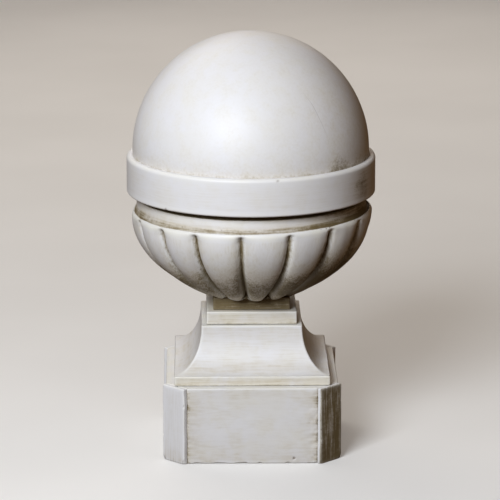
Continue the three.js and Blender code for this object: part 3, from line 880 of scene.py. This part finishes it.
def strip(corner, quarter_turns, darkening):
    """A corner strip, with chipped feet. darkening is how dark its face is made, in streaks dragged up and
    down
    it: glaze, and on the right-hand strips painted shade as well.
    """
    low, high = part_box(f"corner_strip_{corner}")
    half_height = (high.z - low.z) / 2
    # The strip lies at 45 degrees, so its box is as wide as its width and thickness together over root two.
    width = (high.x - low.x) * math.sqrt(2) - STRIP_THICKNESS
    halves = np.array([width / 2, STRIP_THICKNESS / 2, half_height])
    points, faces = rounded_board(halves, ARRIS, FINE)
    gap = edge_gap(points, halves)
    centre = (low + high) / 2
    distance = math.hypot(centre.x, centre.y)
    here = points + (0, 0, 0.3 * quarter_turns)
    wave = noise(here, (15 * MM, 15 * MM, 30 * MM), 51) + 0.5 * noise(here, (5 * MM, 5 * MM, 14 * MM), 52)
    outer = points[:, 1] < 0
    points[:, 1] -= outer * 0.24 * MM * wave * rise(gap, 0, 3 * MM)
    points[:, 0] += 0.45 * MM * noise(here, (40 * MM, 40 * MM, 13 * MM), 56) * points[:, 0] / halves[0]
    feet = [(side, -halves[1], 0.6 * MM - half_height) for side in (-halves[0], halves[0])]
    nicks = [(halves[0], -halves[1], 0.55 * half_height), (-halves[0], -halves[1], -0.35 * half_height)]
    ragged = 1 + 0.4 * noise(here, 2.5 * MM, 53)
    foot_break = rise(-nearest(points, feet) * ragged, -3.4 * MM, -1.2 * MM)
    nick_break = rise(-nearest(points, nicks) * ragged, -1.8 * MM, -0.5 * MM)
    broken = np.maximum(foot_break, 0.7 * nick_break)
    points *= 1 - broken[:, None] * np.array([0.05, 0.22, 0.012])
    crease = fading(halves[1] - points[:, 1], 0.7 * MM) * rise(half_height - points[:, 2], 0, 2 * MM)
    foot_dirt = 0.4 * fading(points[:, 2] + half_height, 9 * MM)
    drag = rise(noise(here, (4 * MM, 4 * MM, 70 * MM), 54), -0.8, 0.8)
    glaze_and_shade = np.maximum(0.6 * crease, foot_dirt)
    # Streaks up and down the face: glaze, and on the right-hand strips painted shade.
    glaze_and_shade = glaze_and_shade + darkening * (0.88 + 0.24 * drag) * rise(-points[:, 1], 0, 0.9 * halves[1])
    wear_and_highlight = fading(gap, 1.2 * MM) * (1 - crease)
    chip = 0.6 * broken * rise(noise(here, 1.6 * MM, 55), 0, 0.5)
    fields = {"glaze_and_shade": glaze_and_shade, "wear_and_highlight": wear_and_highlight, "chip": chip}
    points = points + (0, -distance, half_height + low.z)
    points = turn_points(points, quarter_turns + 0.5)
    nodes = [f"corner_strip_{corner}"]
    make_piece(f"plinth_{corner}_strip", points, faces, fields, [strip_paint], nodes)


# ------------------------------ hardware


def tie_rod():
    """M10 studding with a real helical thread and chamfered ends."""
    low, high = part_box("tie_rod")
    radius = (high.y - low.y) / 2
    pitch = 1.5 * MM
    columns = 24
    height = np.arange(low.z, high.z, pitch / 6)[:, None]
    angle = np.arange(columns) * 2 * math.pi / columns
    phase = np.mod(height / pitch - angle / (2 * math.pi), 1)
    thread = 0.9 * MM * np.clip(np.abs(2 * phase - 1) * 1.15 - 0.05, 0, 1)
    end_gap = np.minimum(height - low.z, high.z - height)
    crest = np.minimum(radius, radius - 1.2 * MM + end_gap)
    bore = np.minimum(radius - thread, crest)
    rows = np.concatenate((0 * bore[:1], bore, 0 * bore[:1]))
    levels = np.concatenate((height[:1], height, height[-1:]))
    points = swept(rows, angle, levels).reshape(-1, 3)
    faces = grid_faces(*rows.shape)
    make_piece("threaded_rod", points, faces, {}, [zinc], ["tie_rod"])


def hex_nut(name, node):
    """A hexagon nut, chamfered above and below."""
    low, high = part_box(node)
    flats = (high.x - low.x) / 2
    middle = (high.z + low.z) / 2
    half = (high.z - low.z) / 2
    columns = 96
    angle = (np.arange(columns) + 0.5) * 2 * math.pi / columns
    sector = np.mod(angle, math.pi / 3) - math.pi / 6
    hexagon = flats / np.cos(sector)
    bore = 5.25 * MM
    levels = np.array([-1, -0.97, -0.9, -0.8, -0.6, 0, 0.6, 0.8, 0.9, 0.97, 1]) * half
    chamfer = flats + (half - np.abs(levels)) * 1.6
    outside = np.minimum(hexagon, chamfer[:, None])
    inside = np.full((2, columns), bore)
    rows = np.vstack((outside, inside))
    heights = np.concatenate((levels, [half, -half]))[:, None] + middle + 0 * angle
    points = np.stack((rows * np.cos(angle), rows * np.sin(angle), heights), axis=-1)
    faces = grid_faces(*rows.shape)
    piece = make_piece(name, points.reshape(-1, 3), faces, {}, [zinc], [node])
    piece.data.set_sharp_from_angle(angle=math.radians(25))


def washer(name, node):
    """A plain washer with blanked, slightly rounded edges."""
    low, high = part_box(node)
    radius = (high.x - low.x) / 2
    edge = 0.5 * MM
    bore = 5.35 * MM
    corners = [(bore, low.z, edge), (radius, low.z, edge), (radius, high.z, edge), (bore, high.z, edge)]
    profile = rounded(corners, 3 * MM, 4)
    turned_piece(name, profile, {}, [zinc], [node], columns=96)


def deck_screw(corner):
    """A countersunk screw with a cross recess in its head and a helical thread."""
    node = f"deck_screw_{corner}"
    low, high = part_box(node)
    centre = (low + high) / 2
    head = (high.x - low.x) / 2
    shank = head / 2
    pitch = 2.2 * MM
    columns = 40
    angle = np.arange(columns) * 2 * math.pi / columns
    face_radii = np.linspace(0.04, 0.96, 14)[:, None] * head
    arm = np.minimum(np.abs(face_radii * np.cos(angle)), np.abs(face_radii * np.sin(angle)))
    cross = rise(-arm, -0.75 * MM, -0.45 * MM) * rise(-face_radii, -0.62 * head, -0.45 * head)
    face_levels = low.z + 1.7 * MM * cross
    neck = np.array([[head, low.z + 0.25 * MM], [shank * 1.05, low.z + head - shank]])
    levels = np.arange(neck[1, 1], high.z - 6 * MM, pitch / 6)[:, None]
    phase = np.mod(levels / pitch - angle / (2 * math.pi), 1)
    body = shank * (0.78 + 0.22 * np.clip(1 - 5 * np.abs(phase - 0.5), 0, 1))
    tip = np.array([[0.6 * shank, high.z - 3 * MM], [0, high.z]])
    ring = 0 * angle
    rows = np.vstack((ring[None], face_radii + ring, neck[:, :1] + ring, body, tip[:, :1] + ring))
    heights = np.vstack((face_levels[:1], face_levels, neck[:, 1:] + ring, levels + ring, tip[:, 1:] + ring))
    points = swept(rows, angle, heights).reshape(-1, 3) + (centre.x, centre.y, 0)
    make_piece(f"screw_{corner}", points, grid_faces(*rows.shape), {}, [zinc], [node])


# ------------------------------ stage


def floor():
    """A plain pale floor, out past the view on every side, which throws no light back up at the object."""
    mesh = bpy.data.meshes.new("floor")
    reach = 9.0
    corners = [(-reach, -reach, 0), (reach, -reach, 0), (reach, reach, 0), (-reach, reach, 0)]
    mesh.from_pydata(corners, [], [(0, 1, 2, 3)])
    shader = Shader("floor_paper")
    cloud = shader.noise(0.35, detail=2.0)
    tone = shader.mix(shader.climb(cloud, 0.3, 0.7), *FLOOR_GREYS)
    shader.tree.links.new(tone, shader.surface.inputs["Emission Color"])
    roughness = shader.climb(cloud, 0.2, 0.8, 0.75, 0.85)
    normal = shader.bump(cloud, 0.1 * MM)
    mesh.materials.append(shader.finish(tone, roughness, normal, Emission_Strength=0.22))
    made = bpy.data.objects.new("floor", mesh)
    made.visible_diffuse = False
    made.visible_glossy = False
    bpy.context.scene.collection.objects.link(made)


def soft_light(name, direction, distance, size, power, color):
    """A square soft box that faces the middle of the object."""
    light = bpy.data.lights.new(name, "AREA")
    light.shape = "SQUARE"
    light.size = size
    light.energy = power
    light.color = color
    lamp = bpy.data.objects.new(name, light)
    towards = Vector(direction).normalized()
    lamp.location = Vector((0, 0, cap_height / 2)) + towards * distance
    lamp.rotation_euler = (-towards).to_track_quat("-Z", "Y").to_euler()
    bpy.context.scene.collection.objects.link(lamp)


def lights():
    """A cool key light in front to the left, warm fill behind and to the right, and a dim warm room."""
    soft_light("key", (-0.34, -0.79, 0.50), 2.2, size=0.9, power=52.5, color=(0.89, 0.935, 1.0))
    soft_light("back", (-0.35, 0.75, 0.85), 2.6, size=1.4, power=15, color=(1.0, 0.94, 0.86))
    soft_light("low_back", (0.10, 0.90, 0.40), 2.8, size=1.4, power=7, color=(1.0, 0.90, 0.80))
    soft_light("right", (0.80, 0.05, 0.60), 2.8, size=1.4, power=1.4, color=(1.0, 0.64, 0.34))
    world = bpy.data.worlds.new("studio")
    world.use_nodes = True
    world.node_tree.nodes["Background"].inputs["Color"].default_value = (*ROOM_GLOW, 1.0)
    world.node_tree.nodes["Background"].inputs["Strength"].default_value = 0.072
    bpy.context.scene.world = world
    bpy.context.scene.view_settings.view_transform = "Standard"


def camera():
    """A long lens a little above the cap, turned one degree round from its front."""
    distance = 7.735 * cap_height
    elevation = math.radians(13.86)
    azimuth = math.radians(-1.02)
    level = math.cos(elevation)
    back = Vector((math.sin(azimuth) * level, -math.cos(azimuth) * level, math.sin(elevation)))
    right = Vector((math.cos(azimuth), math.sin(azimuth), 0))
    aim = Vector((0, 0, 0.4707 * cap_height)) - 0.96 * MM * right
    lens = bpy.data.cameras.new("camera")
    lens.sensor_width = 36
    lens.lens = 232.6
    lens.clip_end = 50
    viewer = bpy.data.objects.new("camera", lens)
    viewer.location = aim + back * distance
    viewer.rotation_euler = (-back).to_track_quat("-Z", "Y").to_euler()
    bpy.context.scene.collection.objects.link(viewer)
    bpy.context.scene.camera = viewer


def dress_hidden_nodes():
    """The inner boards and dowels keep their CAD shapes, with bare wood on them."""
    wood = {"deck_board": inside_timber, "pedestal_core": core_timber, "bulkhead_disc": inside_timber,
            "dowel_left": dowel_beech, "dowel_right": dowel_beech}
    for node, material in wood.items():
        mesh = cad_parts[node].data
        for index in range(len(mesh.materials)):
            mesh.materials[index] = material


# ------------------------------ assembly

camera()
lights()
floor()
dome()
band()
collar()
bowl()
# The top step is darker all over and most just under the bowl: glaze, with the bowl's painted shadow.
upper_low, upper_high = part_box("upper_step")
square_board("top_step", "upper_step", [(upper_low.z, 0.7), (upper_high.z, 1.3)], 1.05, 61)
square_board("bottom_step", "lower_step", [(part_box("lower_step")[0].z, 0.6)], 0.12, 63)
square_board("fillet_board", "cap_board", [(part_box("cap_board")[0].z, 0.55)], 0.16, 65)
for turns, side in enumerate(SIDES):
    cove(side, turns)
    panel(side, turns)
for turns, (corner, darkening) in enumerate(zip(CORNERS, STRIP_GLAZE_AND_SHADE)):
    strip(corner, turns, darkening)
    deck_screw(corner)
tie_rod()
hex_nut("nut_below", "lower_nut")
hex_nut("nut_above", "upper_nut")
washer("washer_below", "lower_washer")
washer("washer_above", "upper_washer")
dress_hidden_nodes()
